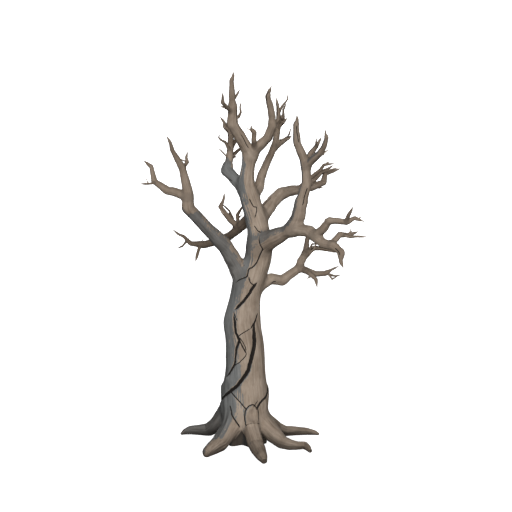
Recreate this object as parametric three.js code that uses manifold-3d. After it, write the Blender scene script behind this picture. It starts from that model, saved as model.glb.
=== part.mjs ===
// A dead tree: a stout old trunk on seven surface roots, with bare, crooked boughs.
// Millimetres, +Z up. The origin is the trunk's axis at ground level, and +X is the tree's right.
import * as THREE from "three";
import { mergeVertices } from "three/addons/utils/BufferGeometryUtils.js";
import Module from "manifold-3d";

const wasm = await Module();
wasm.setup();

// ---- Sizes that everything shares -------------------------------------------------------

const GAP = 0.3; // clear space between a limb and the limb that carries it
const TIP_RADIUS = 12; // where a limb ends, broken off
const TAPER = 0.55; // power of the taper where a limb states no radii: 1 is a straight cone
const TRUNK_SIDES = 24;
const SIDES_BY_RADIUS = [[140, 12], [60, 10], [30, 8], [0, 6]]; // thicker than this, this many sides
const ROOT_SIDES = 9;

const ROOT_HEIGHT = 850; // where a root's line leaves the trunk's axis
const ROOT_PLUNGE = 900; // plan distance over which a root comes down to the ground
const ROOT_DROP = 1.2; // power of that descent
const ROOT_BEDDING = 0.85; // height of a root's line over the ground, in root radii

const FLARE_REACH = 300; // how far the trunk's foot runs out towards each root at the ground
const FLARE_HEIGHT = 950; // height at which that flare has died out
const FLARE_SPREAD = THREE.MathUtils.degToRad(17); // half width of one lobe of the flare

const BROWN = { color: 0x9c8b79, roughness: 0.85, metalness: 0 }; // bare wood gone tan
const SILVER = { color: 0x6f7373, roughness: 0.9, metalness: 0 }; // the side weathered grey

// ---- The trunk: [height, x, y, radius] from the cut at the ground to the fork -----------

const TRUNK = [
  [0, 0, 0, 270],
  [250, 0, 0, 370],
  [550, -20, 0, 492],
  [950, -10, 0, 510],
  [1250, 0, 0, 490],
  [1400, 10, 0, 450],
  [1680, 25, 10, 425],
  [2250, 0, 20, 410],
  [2680, -60, 30, 402],
  [3100, -10, 30, 342],
  [3430, 60, 20, 332],
  [3730, 190, 0, 300],
  [4030, 280, -20, 290],
  [4350, 322, -30, 268],
  [4630, 306, -20, 246],
  [4880, 248, 0, 226],
  [5160, 165, 20, 224],
  [5450, 80, 35, 215],
  [5670, 30, 35, 180],
  [5860, 48, 25, 152],
  [6070, 84, 10, 146],
  [6280, 115, 0, 150],
  [6340, 120, 0, 95],
];

// ---- The roots: reaches of [plan length, heading, radius at its end] ---------------------
// A heading is in degrees anticlockwise from +X, seen from above.

const ROOTS = {
  root_left: { foot: 260, reaches: [[390, 160, 260], [170, 155, 190], [160, 152, 165], [170, 155, 140],
    [200, 170, 118], [205, 170, 100], [130, 190, 66], [110, 207, 20]] },
  root_front_left: { foot: 240, reaches: [[400, 233, 215], [230, 232, 195], [230, 232, 175],
    [230, 232, 145], [190, 236, 110], [80, 250, 56]] },
  root_front: { foot: 220, reaches: [[350, 288, 205], [230, 286, 190], [260, 286, 162], [310, 284, 130],
    [210, 284, 104], [175, 285, 58]] },
  root_front_right: { foot: 240, reaches: [[320, 335, 225], [190, 328, 205], [200, 324, 180],
    [220, 324, 145], [210, 326, 115], [170, 2, 88], [160, 18, 80], [160, 296, 64], [140, 287, 35]] },
  root_right: { foot: 220, reaches: [[400, 18, 190], [190, 25, 160], [165, 25, 130], [190, 15, 115],
    [255, 9, 95], [250, 5, 78], [160, 353, 56], [115, 345, 22]] },
  root_back_right: { foot: 200, reaches: [[450, 61, 170], [230, 61, 140], [250, 61, 115],
    [250, 66, 75], [240, 57, 20]] },
  root_back_left: { foot: 220, reaches: [[450, 122, 190], [220, 120, 160], [270, 116, 130],
    [270, 107, 85], [280, 116, 20]] },
};

// ---- The boughs ---------------------------------------------------------------------------
// on: the limb that carries it; at: how far along that limb (on the trunk, the height);
// foot: its radius there; reaches: straight runs of [length, heading, climb, radius at its end],
// with the climb in degrees over level. Without radii a limb tapers by TAPER to TIP_RADIUS.

const BOUGHS = {
  left: { on: "trunk", at: 3340, foot: 195, reaches: [[700, 208, 66, 172], [430, 218, 56, 156],
    [680, 214, 43, 124], [570, 212, 45, 119], [320, 284, 84, 96], [530, 224, 74, 70],
    [420, 218, 56, 40], [170, 248, 62, 30], [170, 228, 56, 10]] },
  left_fork: { on: "left", at: 2600, foot: 90, reaches: [[320, 158, 18, 86], [160, 160, 8, 80],
    [360, 156, 31, 56], [310, 134, 72, 40], [260, 142, 30, 12]] },
  left_fork_spur: { on: "left_fork", at: 780, foot: 32, reaches: [[260, 222, -2], [150, 216, 2]] },
  left_spur: { on: "left", at: 3210, foot: 48, reaches: [[250, 68, 28], [120, 110, 54], [140, 72, 56]] },

  right: { on: "trunk", at: 4250, foot: 200, reaches: [[360, 306, 36, 192], [260, 320, 24, 188],
    [260, 322, 24, 184], [240, 324, 30, 165], [60, 324, 30, 100]] },
  right_up: { on: "right", at: 1080, foot: 150, reaches: [[310, 316, 56, 138], [230, 318, 78, 130],
    [260, 12, 74, 110], [210, 34, 72, 92], [360, 178, 88, 92], [230, 204, 68, 82],
    [280, 212, 62, 74], [370, 252, 76, 56], [100, 324, 72, 30], [110, 250, 80, 10]] },
  right_up_fork: { on: "right_up", at: 1390, foot: 72, reaches: [[250, 48, 54, 58], [220, 40, 44, 42],
    [140, 38, 52, 24], [120, 46, 50, 10]] },
  right_up_twig: { on: "right_up_fork", at: 460, foot: 26, reaches: [[140, 272, 46], [100, 270, 70]] },
  right_up_horn: { on: "right_up", at: 1340, foot: 82, reaches: [[290, 310, 38, 70], [210, 310, 32, 60],
    [180, 308, 48, 50], [200, 296, 62, 38], [90, 232, 62, 18], [100, 276, 70, 10]] },
  right_low: { on: "right", at: 1040, foot: 132, reaches: [[290, 318, 8, 126], [240, 312, -12, 118],
    [260, 308, -26, 98], [170, 318, -32, 88], [270, 322, -8, 80], [200, 322, -32, 68],
    [190, 262, -74, 32], [140, 344, -68, 10]] },
  right_low_arm: { on: "right_low", at: 710, foot: 84, reaches: [[290, 308, 34, 80], [240, 316, 48, 66],
    [150, 340, 2, 60], [200, 346, -6, 52], [180, 346, 28, 34], [210, 340, -18, 10]] },
  right_low_arm_twig: { on: "right_low_arm", at: 870, foot: 40, reaches: [[210, 284, 46, 32],
    [240, 298, 48, 10]] },
  right_low_hand: { on: "right_low", at: 1150, foot: 56, reaches: [[300, 30, 42, 52], [230, 28, -6, 36],
    [240, 36, 14, 10]] },
  right_low_finger: { on: "right_low_hand", at: 350, foot: 30, reaches: [[170, 340, -14],
    [130, 336, 8], [230, 338, 0]] },

  lowright: { on: "trunk", at: 3370, foot: 125, reaches: [[370, 12, 20, 115], [210, 24, 22, 114],
    [290, 30, -12, 106], [230, 26, 30, 94], [270, 22, 32, 86], [140, 52, 70, 82],
    [180, 36, 50, 70], [270, 28, 30, 52], [210, 28, -8, 38], [400, 28, -16, 10]] },
  lowright_riser: { on: "lowright", at: 1690, foot: 64, reaches: [[170, 76, 48, 60], [220, 78, 48, 48],
    [290, 78, 44, 12]] },
  lowright_twig: { on: "lowright", at: 1790, foot: 24, reaches: [[210, 324, 64], [150, 322, 8]] },
  lowright_arm: { on: "lowright", at: 1350, foot: 66, reaches: [[240, 326, -10, 62], [190, 332, -16, 56],
    [220, 336, 6, 50], [190, 340, 32, 20], [160, 340, 28, 10]] },
  lowright_arm_out: { on: "lowright_arm", at: 670, foot: 26, reaches: [[150, 32, -22], [130, 34, -16],
    [140, 30, 8]] },
  lowright_arm_low: { on: "lowright_arm", at: 700, foot: 24, reaches: [[190, 320, -44], [140, 324, 28]] },
  lowright_hook: { on: "lowright_arm", at: 150, foot: 54, reaches: [[250, 296, -12, 48],
    [200, 314, -30, 34], [180, 294, -70, 12]] },

  backright: { on: "trunk", at: 4830, foot: 160, reaches: [[480, 58, 30, 148], [290, 58, 32, 134],
    [300, 48, 30, 130], [320, 42, 10, 114], [240, 40, 2, 98], [400, 40, 6, 80],
    [360, 36, 16, 66], [220, 58, 68, 50], [190, 34, 6, 28], [290, 38, 16, 10]] },
  backright_mid: { on: "backright", at: 1790, foot: 56, reaches: [[400, 34, 34, 44], [240, 34, 38, 32],
    [200, 34, 22, 20], [170, 40, 22, 10]] },
  backright_fork: { on: "backright_mid", at: 630, foot: 26, reaches: [[210, 340, 14], [170, 348, 18]] },
  backright_top: { on: "backright", at: 1570, foot: 50, reaches: [[250, 328, 40, 44], [250, 340, 40, 38],
    [250, 334, 38, 34], [130, 318, 52, 28], [250, 334, 8, 10]] },

  backleft: { on: "trunk", at: 5020, foot: 130, reaches: [[480, 116, -28, 116], [370, 120, -30, 94],
    [410, 130, -30, 90], [410, 142, -20, 86], [370, 142, -16, 80], [390, 144, 0, 50],
    [260, 146, 36, 34], [130, 156, 18, 24], [200, 148, 30, 10]] },
  backleft_low: { on: "backleft", at: 2550, foot: 30, reaches: [[200, 152, -48], [170, 140, -20]] },
  backleft_spur: { on: "backleft", at: 2140, foot: 50, reaches: [[250, 246, -54, 30],
    [190, 236, -64, 10]] },
  backleft_riser: { on: "backleft", at: 790, foot: 66, reaches: [[260, 170, 38, 58], [210, 152, 46, 54],
    [180, 146, 48, 42], [190, 46, 58, 24], [150, 66, 74, 8]] },
  backleft_twin: { on: "backleft", at: 1020, foot: 36, reaches: [[390, 100, 46], [250, 116, 40],
    [270, 132, 28]] },
  backleft_inner: { on: "backleft", at: 850, foot: 50, reaches: [[370, 98, 50], [360, 66, 32]] },

  backtop: { on: "trunk", at: 5280, foot: 130, reaches: [[470, 64, 32, 104], [290, 74, 52, 90],
    [320, 64, 46, 78], [330, 54, 50, 72], [320, 54, 56, 66], [330, 66, 68, 56],
    [290, 82, 68, 44], [210, 102, 70, 32], [240, 108, 66, 12]] },
  backtop_out: { on: "backtop", at: 2400, foot: 30, reaches: [[260, 68, 36], [340, 60, 32],
    [150, 98, 48]] },
  backtop_mid: { on: "backtop", at: 2130, foot: 38, reaches: [[310, 296, 34], [190, 266, 56],
    [180, 300, 48]] },
  backtop_low: { on: "backtop", at: 2040, foot: 30, reaches: [[170, 314, 38], [230, 310, 38]] },
  backtop_branch: { on: "backtop", at: 1510, foot: 60, reaches: [[280, 40, 34, 54], [220, 44, 26, 44],
    [180, 46, 18, 12]] },
  backtop_twig: { on: "backtop_branch", at: 500, foot: 24, reaches: [[180, 292, 36], [150, 292, 58]] },

  upleft: { on: "trunk", at: 5490, foot: 125, reaches: [[300, 154, 34, 114], [410, 136, 38, 116],
    [260, 68, 60, 78], [270, 78, 66, 66], [280, 86, 68, 56], [120, 120, 62, 48],
    [150, 144, 32, 36], [140, 118, 66, 24], [160, 142, 44, 10]] },
  upleft_hook: { on: "upleft", at: 1150, foot: 36, reaches: [[270, 236, 52], [150, 230, 20],
    [90, 224, 36], [90, 302, 48]] },
  upleft_stub: { on: "upleft", at: 980, foot: 24, reaches: [[350, 206, 44]] },
  upleft_inner: { on: "upleft", at: 910, foot: 44, reaches: [[350, 66, 30], [350, 68, 18],
    [470, 80, 18]] },
  upleft_riser: { on: "upleft", at: 1150, foot: 40, reaches: [[360, 70, 36], [320, 82, 38],
    [260, 96, 34]] },
  upleft_twig: { on: "upleft", at: 1700, foot: 20, reaches: [[320, 100, 30]] },

  topleft: { on: "trunk", at: 6280, foot: 125, reaches: [[380, 222, 52, 120], [420, 226, 50, 106],
    [300, 276, 74, 92], [260, 266, 72, 62], [350, 262, 76, 42], [110, 320, 62, 24],
    [90, 250, 78, 10]] },
  topleft_hook: { on: "topleft", at: 1040, foot: 50, reaches: [[450, 242, 26, 34], [120, 274, 56, 22],
    [120, 270, 54, 10]] },
  topleft_spur: { on: "topleft", at: 1260, foot: 28, reaches: [[180, 54, 46], [200, 58, 44]] },
  topleft_curl: { on: "topleft", at: 850, foot: 34, reaches: [[300, 64, 20], [150, 68, 36],
    [130, 108, 66], [120, 68, 62]] },
  topright: { on: "trunk", at: 6280, foot: 115, reaches: [[270, 332, 36, 104], [290, 326, 40, 90],
    [280, 308, 60, 80], [190, 264, 76, 68], [240, 240, 70, 62], [200, 236, 64, 50],
    [100, 302, 66, 32], [150, 308, 54, 10]] },
  topright_stub: { on: "topright", at: 160, foot: 54, reaches: [[290, 262, 40, 50], [180, 278, 68, 44],
    [120, 222, 44, 26], [70, 278, 60, 12]] },
};

// Limbs on the side of the tree that has gone silver-grey.
const SILVER_LIMBS = ["root_left", "left", "upleft"];

// ---- Geometry -------------------------------------------------------------------------------

function direction(heading, climb) {
  const h = THREE.MathUtils.degToRad(heading);
  const c = THREE.MathUtils.degToRad(climb);
  return new THREE.Vector3(Math.cos(c) * Math.cos(h), Math.cos(c) * Math.sin(h), Math.sin(c));
}

// The swelling that gives a faceted limb the cross-section area of the round one.
function facetSwell(sides) {
  const turn = (2 * Math.PI) / sides;
  return Math.sqrt(turn / Math.sin(turn));
}

// A closed skin over rings of points, each ring anticlockwise seen from the limb's far end.
function skin(rings) {
  const sides = rings[0].length;
  const middle = (ring) => ring.reduce((sum, p) => sum.add(p), new THREE.Vector3()).divideScalar(sides);
  const points = [...rings.flat(), middle(rings[0]), middle(rings.at(-1))];
  const footMiddle = points.length - 2;
  const endMiddle = points.length - 1;
  const endRing = (rings.length - 1) * sides;
  const faces = [];
  for (let i = 0; i < sides; i++) {
    const j = (i + 1) % sides;
    faces.push(footMiddle, j, i);
    faces.push(endMiddle, endRing + i, endRing + j);
    for (let low = 0; low < endRing; low += sides) {
      const high = low + sides;
      faces.push(low + i, low + j, high + j, low + i, high + j, high + i);
    }
  }
  const geometry = new THREE.BufferGeometry().setFromPoints(points);
  geometry.setIndex(faces);
  return geometry;
}

// Rings square to a limb's reaches, mitred where two reaches meet, and never under the ground.
function ringsAlong(points, radii, sides) {
  const runs = points.slice(1).map((p, i) => p.clone().sub(points[i]).normalize());
  const across = new THREE.Vector3(0, 0, 1).cross(runs[0]);
  if (across.length() < 0.1) across.set(1, 0, 0).cross(runs[0]);
  across.normalize();
  return points.map((point, i) => {
    const before = runs[Math.max(i - 1, 0)];
    const after = runs[Math.min(i, runs.length - 1)];
    const mitre = before.clone().add(after).normalize();
    const up = before.clone().cross(across);
    const ring = [];
    for (let k = 0; k < sides; k++) {
      const turn = (2 * Math.PI * k) / sides;
      const spoke = across.clone().multiplyScalar(Math.cos(turn)).addScaledVector(up, Math.sin(turn));
      spoke.multiplyScalar(radii[i] * facetSwell(sides));
      spoke.addScaledVector(before, -spoke.dot(mitre) / before.dot(mitre));
      spoke.add(point);
      spoke.z = Math.max(spoke.z, 0);
      ring.push(spoke);
    }
    across.applyQuaternion(new THREE.Quaternion().setFromUnitVectors(before, after));
    return ring;
  });
}

// Level rings round the trunk's line, with a lobe towards each root near the ground.
function trunkRings(grow) {
  const headings = Object.values(ROOTS).map((root) => THREE.MathUtils.degToRad(root.reaches[0][1]));
  return TRUNK.map(([height, x, y, radius], i) => {
    const fade = Math.max(0, 1 - height / FLARE_HEIGHT) ** 2;
    const end = i === TRUNK.length - 1 ? grow : 0;
    const ring = [];
    for (let k = 0; k < TRUNK_SIDES; k++) {
      const turn = (2 * Math.PI * k) / TRUNK_SIDES;
      let reach = radius * facetSwell(TRUNK_SIDES) + grow;
      for (const heading of headings) {
        const away = Math.atan2(Math.sin(turn - heading), Math.cos(turn - heading));
        reach += FLARE_REACH * fade * Math.exp(-((away / FLARE_SPREAD) ** 2));
      }
      ring.push(new THREE.Vector3(x + reach * Math.cos(turn), y + reach * Math.sin(turn), height + end));
    }
    return ring;
  });
}

// ---- Limbs as solids -------------------------------------------------------------------------

// Each limb made so far: its line, the distance of each point along it, and its whole solid.
const limbs = {};

function solid(geometry) {
  geometry.deleteAttribute("normal");
  geometry.deleteAttribute("uv");
  const merged = mergeVertices(geometry, 1e-3);
  const vertProperties = new Float32Array(merged.attributes.position.array);
  const triVerts = new Uint32Array(merged.index.array);
  return new wasm.Manifold(new wasm.Mesh({ numProp: 3, vertProperties, triVerts }));
}

function pointOn(limb, at) {
  const { points, marks } = limbs[limb];
  const i = Math.min(Math.max(marks.findIndex((mark) => mark > at), 1), marks.length - 1);
  const share = (at - marks[i - 1]) / (marks[i] - marks[i - 1]);
  return points[i - 1].clone().lerp(points[i], share);
}

function radiusByTaper(foot, share) {
  return Math.max(TIP_RADIUS, foot * (1 - share) ** TAPER);
}

// The line, marks and radii of a bough, from its foot on the line of the limb that carries it.
function boughLine({ on, at, foot, reaches }) {
  const points = [pointOn(on, at)];
  const marks = [0];
  const radii = [foot];
  const length = reaches.reduce((sum, reach) => sum + reach[0], 0);
  for (const [run, heading, climb, radius] of reaches) {
    points.push(points.at(-1).clone().addScaledVector(direction(heading, climb), run));
    marks.push(marks.at(-1) + run);
    radii.push(radius ?? radiusByTaper(foot, marks.at(-1) / length));
  }
  return { points, marks, radii };
}

// A root's line comes down from the trunk's axis and then lies along the ground.
function rootLine({ foot, reaches }) {
  const [, x, y] = TRUNK[0];
  const points = [new THREE.Vector3(x, y, ROOT_HEIGHT)];
  const marks = [0];
  const radii = [foot];
  for (const [run, heading, radius] of reaches) {
    const next = points.at(-1).clone().addScaledVector(direction(heading, 0), run);
    const lying = radius * ROOT_BEDDING;
    const fall = Math.max(0, 1 - Math.hypot(next.x - x, next.y - y) / ROOT_PLUNGE) ** ROOT_DROP;
    next.z = lying + (ROOT_HEIGHT - lying) * fall;
    marks.push(marks.at(-1) + next.distanceTo(points.at(-1)));
    points.push(next);
    radii.push(radius);
  }
  return { points, marks, radii };
}

// A limb's solid, grown all over by a clearance.
function limbSolid({ points, radii }, sides, grow) {
  const longer = points.map((point) => point.clone());
  const last = longer.length - 1;
  longer[0].addScaledVector(points[1].clone().sub(points[0]).normalize(), -grow);
  longer[last].addScaledVector(points[last].clone().sub(points[last - 1]).normalize(), grow);
  return solid(skin(ringsAlong(longer, radii.map((radius) => radius + grow), sides)));
}

function biggestPiece(body) {
  const pieces = body.decompose();
  return pieces.reduce((best, piece) => (piece.volume() > best.volume() ? piece : best));
}

function meshOf(name, body) {
  const { vertProperties, triVerts } = body.getMesh();
  const geometry = new THREE.BufferGeometry();
  geometry.setAttribute("position", new THREE.BufferAttribute(new Float32Array(vertProperties), 3));
  geometry.setIndex(new THREE.BufferAttribute(new Uint32Array(triVerts), 1));
  geometry.computeVertexNormals();
  const finish = SILVER_LIMBS.includes(name) ? SILVER : BROWN;
  const mesh = new THREE.Mesh(geometry, new THREE.MeshStandardMaterial(finish));
  mesh.name = name;
  return mesh;
}

// Cuts a limb clear of every earlier limb that it runs into, and keeps the part that grows on.
function addLimb(group, name, line, sides) {
  let body = limbSolid(line, sides, 0);
  for (const earlier of Object.values(limbs)) {
    if (body.intersect(earlier.grown).volume() > 0) body = body.subtract(earlier.grown);
  }
  limbs[name] = { ...line, grown: limbSolid(line, sides, GAP) };
  group.add(meshOf(name, biggestPiece(body)));
}

// ---- The tree ----------------------------------------------------------------------------------

const tree = new THREE.Group();

limbs.trunk = {
  points: TRUNK.map(([height, x, y]) => new THREE.Vector3(x, y, height)),
  marks: TRUNK.map(([height]) => height),
  grown: solid(skin(trunkRings(GAP))),
};
tree.add(meshOf("trunk", solid(skin(trunkRings(0)))));

for (const [name, root] of Object.entries(ROOTS)) addLimb(tree, name, rootLine(root), ROOT_SIDES);

for (const [name, bough] of Object.entries(BOUGHS)) {
  const [, sides] = SIDES_BY_RADIUS.find(([radius]) => bough.foot > radius);
  addLimb(tree, name, boughLine(bough), sides);
}

export default tree;
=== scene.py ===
"""A dead hardwood tree with no bark: a stout leaning trunk, surface roots and crooked boughs.

The wood is one skin, run over the tree's limbs as the frame holds them, with collars where limbs
join, long grain, drying cracks and knots. It is cut into a piece for each part of the tree.
"""

import itertools
import math

import bpy
import numpy as np
from bpy.props import FloatProperty, FloatVectorProperty, IntProperty, PointerProperty
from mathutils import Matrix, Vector


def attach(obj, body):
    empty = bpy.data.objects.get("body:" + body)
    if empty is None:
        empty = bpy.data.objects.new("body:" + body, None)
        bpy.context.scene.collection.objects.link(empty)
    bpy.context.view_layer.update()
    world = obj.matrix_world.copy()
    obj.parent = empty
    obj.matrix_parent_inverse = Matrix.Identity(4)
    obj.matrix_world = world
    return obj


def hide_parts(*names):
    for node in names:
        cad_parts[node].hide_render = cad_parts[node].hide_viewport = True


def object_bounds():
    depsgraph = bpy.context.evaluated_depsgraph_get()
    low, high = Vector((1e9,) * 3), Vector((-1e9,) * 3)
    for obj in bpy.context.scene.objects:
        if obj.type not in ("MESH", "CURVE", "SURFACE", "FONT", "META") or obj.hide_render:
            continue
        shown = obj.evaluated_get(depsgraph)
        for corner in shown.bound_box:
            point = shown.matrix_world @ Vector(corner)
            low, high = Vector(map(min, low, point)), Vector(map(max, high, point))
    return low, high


bl_info = {
    "name": "Dead Tree",
    "version": (1, 0, 0),
    "blender": (4, 5, 0),
    "location": "3D View > Sidebar > Dead Tree",
    "description": "Builds a bare, weathered dead tree round its frame of limbs",
    "category": "Object",
}

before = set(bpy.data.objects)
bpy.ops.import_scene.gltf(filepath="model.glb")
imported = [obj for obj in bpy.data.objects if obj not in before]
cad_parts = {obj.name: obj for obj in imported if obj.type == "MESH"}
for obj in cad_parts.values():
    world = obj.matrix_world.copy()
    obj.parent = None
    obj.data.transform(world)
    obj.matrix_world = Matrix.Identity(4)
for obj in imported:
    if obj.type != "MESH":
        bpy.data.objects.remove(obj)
CAD_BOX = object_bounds()

MM = 0.001

# ---- Constants --------------------------------------------------------------------------------

# How limbs are read from the frame's solids.
WELD = 1e5  # points closer than 1/WELD of a metre are one
FLAT_FAN = 0.995  # how alike the normals round a point are where it is the middle of a flat end
FAN_LEAST = 6  # the fewest sides that a limb's solid may have
FOOT_DEPTH = 0.8  # how far a limb's line runs on into the limb that bears it, in that one's radius
FOOT_SWELL = 1.06  # a limb's radius where it enters its bearer, over its radius at the first bend
FOOT_RISE = 0.6  # how far above the ground a line's buried end stays, in the limb's radius
LINE_STEP = 20 * MM  # spacing of the points along a limb's line
LINE_EASE = 0.1  # how far a limb's bends are eased, in its mean radius
LINE_EASE_LEAST = 8 * MM
LINE_THINNEST = 0.8  # the line's least radius, over that of the solid's thinnest ring
KNUCKLE_REACH = 0.9  # how far a bend's swelling reaches, in the limb's radius
KNUCKLE_SHARE = 0.4  # and how much of the leg beside the bend it may take up
KNUCKLE_MOST = 1.22  # the radius at a bend, over the limb's
TIP_REACH = 7.0  # how far back from its tip a limb starts to come to a point, in the tip's radius
TIP_CUT = 0.2  # how much of that reach is cut off the point, so that it ends in a broken tip
TIP_SHARE = 0.42  # the radius that the point comes down to, over the solid's
TIP_LEAST = 7 * MM
WOOD_EXTRA = 6 * MM  # how much thicker a limb's wood is than the middle of its flat-sided solid
FRAME_START = (0.3, 0.1, 1.0)  # a limb's bearings start square to this, which no foot runs along
TRUNK_STEP = 20 * MM
TRUNK_BEARINGS = 120
TRUNK_EASE_UP = 80 * MM
TRUNK_EASE_ROUND = 5  # degrees

# How the skin is grown over the limbs.
TUBE_SIDES = 16
TUBE_STEP = 3  # a ring of the rough tube at each so many points of the line
TUBE_EXTRA = 3 * MM  # how much thicker the rough tube is, so that thin tips outlast the remeshing
COARSE = 2.0  # the first remeshing's step, over the second's
FAR = 10.0  # further than any two points of the skin, in metres
BATCH = 8000  # places looked at together, so that the table of their distances stays small
SLOPE_LEAST = 0.4  # keeps a place in a crotch, where ways out cancel, from being thrown far
FLAT_FACING = -0.9  # the cut that the tree stands on faces further down than this
FLAT_HEIGHT = 2 * MM  # and lies below this
SPREAD_HEIGHT = 25 * MM  # points below this, which the ground presses flat, are spread out again
COLLAR_REACH = 2.2  # how far up a limb its collar fades, in its radius at the foot
COLLAR_LEAST = 14 * MM
ROOT_COLLAR = 0.85  # a root's collar, over a bough's

# The wood's relief.
TWIST = 0.22  # how far the grain winds round a limb, in radians to the metre
NOISE_APART = 17.3  # how far apart two limbs' patterns are taken, so that they are not alike
FLUTES_ROUND = 2.2  # how many swells of noise go to a limb's radius, for its flutes
FINER = (0.5, 2, 1.7)  # a second set of flutes: how deep, how close and how short, over the first
FLUTE_LENGTH = 3.6  # in the limb's mean radius
FLUTE_LEAST = 0.1  # metres added to that, so that thin limbs are not crimped
LUMPS_ROUND = 1.1
LUMP_LENGTH = 2.0  # in the limb's mean radius
LUMP_LEAST = 0.06
GRAIN_LEVEL = 0.6  # how far the grain's ridges stand out of the limb, in the grain's depth
GRAIN_WIDTH = 50 * MM
GRAIN_LENGTH = 0.5
GRAIN_SHARE = 0.06  # the grain's relief is at most this share of the limb's radius
ROOT_FLUTES = 2.0  # how much more fluted roots are
TIP_FADE = 60 * MM  # relief dies out this near a limb's tip
TIP_LEFT = 0.1  # but a trace is left at the very end, as this share of the way from it

# The boughs that a piece of the tree is named for. A limb goes with the longest name it starts with.
LEADERS = ("left", "right", "right_up", "right_low", "lowright", "backright", "backleft",
           "backtop", "upleft", "topleft", "topright")
TRUNK_CUTS = {"trunk_butt": 0.0, "trunk_bole": 1.5, "trunk_stem": 3.35}  # lower ends, in metres
EVENINGS = 4  # how often the cuts between pieces are made smoother
OWN_VOTES = 1.5  # what a face's own label counts for then, where a neighbour's counts for one
MOST_PASSES = 400
CAP_DISH = 8 * MM  # how far the hidden end of a piece is dished, so that two ends never touch

# Drying cracks on the trunk: width in millimetres, then points of (height in millimetres, bearing
# in degrees). A bearing is anticlockwise from +X, seen from above, so -90 faces the viewer.
CRACKS = {
    "long spiral": (100, [(2920, -36), (2580, -52), (2220, -61), (1910, -73), (1670, -84),
                          (1370, -109), (1230, -127), (870, -177), (660, -205),
                          (520, -224), (430, -245), (390, -262)]),
    "long spiral branch": (44, [(2910, -30), (2720, -44), (2550, -68)]),
    "upper spiral": (78, [(3600, -60), (3500, -70), (3350, -77), (3150, -97), (3000, -117),
                          (2960, -130)]),
    "left drop": (72, [(3000, -127), (2900, -123), (2720, -113), (2490, -111), (2340, -104),
                       (2120, -117), (1780, -126), (1610, -141), (1430, -158), (1330, -168)]),
    "left shelf": (30, [(1600, -143), (1420, -160), (1270, -178), (1150, -200), (1090, -222)]),
    "left cross": (38, [(2480, -112), (2250, -99), (2100, -89), (2010, -82)]),
    "left cross loop": (26, [(2420, -106), (2300, -93), (2180, -88), (2080, -86)]),
    "fork ring": (36, [(4560, -67), (4370, -70), (4230, -81), (4010, -92), (3890, -104),
                       (3860, -120), (3690, -112), (3630, -141), (3490, -158)]),
    "fork ring tail": (32, [(3710, -110), (3560, -87), (3490, -66)]),
    "hairline 1": (26, [(1740, -131), (1860, -107), (2000, -88), (2110, -84)]),
    "hairline 2": (26, [(2590, -62), (2500, -90), (2400, -110)]),
    "hairline 3": (22, [(2960, -128), (2850, -116), (2720, -102)]),
    "butt left": (34, [(1310, -134), (1010, -101), (790, -78)]),
    "butt right": (46, [(1330, 2), (1100, -20), (1000, -42), (790, -66)]),
    "butt tick": (28, [(1030, -52), (880, -70)]),
    "root seam 1": (40, [(960, -128), (800, -120), (630, -113), (430, -106)]),
    "root seam 2": (30, [(910, -163), (720, -165), (580, -147)]),
    "stem line": (26, [(5400, -96), (5260, -88), (5170, -82), (5170, -63), (5060, -76),
                       (4880, -101)]),
    "stem arc": (26, [(4790, -110), (4670, -93), (4600, -68)]),
    "back spiral": (90, [(3900, 150), (3500, 132), (3050, 112), (2600, 96), (2150, 80),
                         (1750, 58), (1450, 30), (1270, 6)]),
    "back spiral branch": (44, [(2600, 97), (2300, 106), (1950, 110), (1700, 122)]),
    "back drop": (64, [(2050, 168), (1700, 160), (1350, 152), (1050, 136), (760, 128)]),
    "back line": (44, [(1500, 84), (1200, 88), (900, 84), (600, 92)]),
    "right drop": (44, [(3500, 24), (3150, 12), (2800, 8), (2400, -4), (2100, -8)]),
    "back stem": (36, [(5900, 112), (5500, 96), (5100, 100), (4700, 84), (4350, 88)]),
}
# Cracks whose lower side stands out like the edge of a shell of wood, and by how much.
LIPS = {"long spiral": 32 * MM, "upper spiral": 12 * MM, "left drop": 10 * MM,
        "left shelf": 34 * MM, "butt right": 22 * MM, "back spiral": 22 * MM, "back drop": 12 * MM}
LIP_REACH = 0.35  # how far below its crack a lip fades into the trunk
CRACK_STEP = 8 * MM  # spacing of the points along a crack's line
CRACK_EASE = 20 * MM  # how far a crack's bends are eased
CRACK_STRAY = 9 * MM  # how far a crack wanders off its line
CRACK_WANDERS = ((0.13, 1.0), (0.045, 0.5))  # how long its wanders are, and how strong
CRACK_DEPTH = 0.4  # of a crack's width
CRACK_END = 0.16  # share of a crack's length over which it narrows to nothing at each end
CRACK_END_WIDTH = 0.3  # the groove's width there, where it has no depth left, over its full width
CRACK_END_BACK = 5 * MM  # how far its dark edge draws in there
CRACK_DARK = 0.75  # share of a crack's half width that is painted dark, for the shade deep in it
CRACK_RAMP = 50 * MM  # the crack mark falls from 1 to 0 over this, with the dark edge at 0.5
CRACK_EDGE = (0.44, 0.55)  # crack marks over which the wood turns dark with painted shade

# Fine cracks along the grain of the stouter boughs.
CHECK_GAP = 0.6  # metres along a bough from one to the next, about
CHECK_GAPS = (0.4, 1.6)  # the least and the most of that
CHECK_LEAST_GIRTH = 0.07  # none on a bough of a smaller mean radius
CHECK_CLEAR = 0.1  # metres without them at either end of a bough
CHECK_LAST = 0.25  # none starts this near the tip
CHECK_LENGTHS = (0.18, 0.5)
CHECK_WIDTHS = (20, 28)  # in millimetres
CHECK_LEAN = 0.5  # how far one leans round the bough, in radians
CHECK_BEND = 0.6  # how much of that lean it has taken up halfway along

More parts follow.
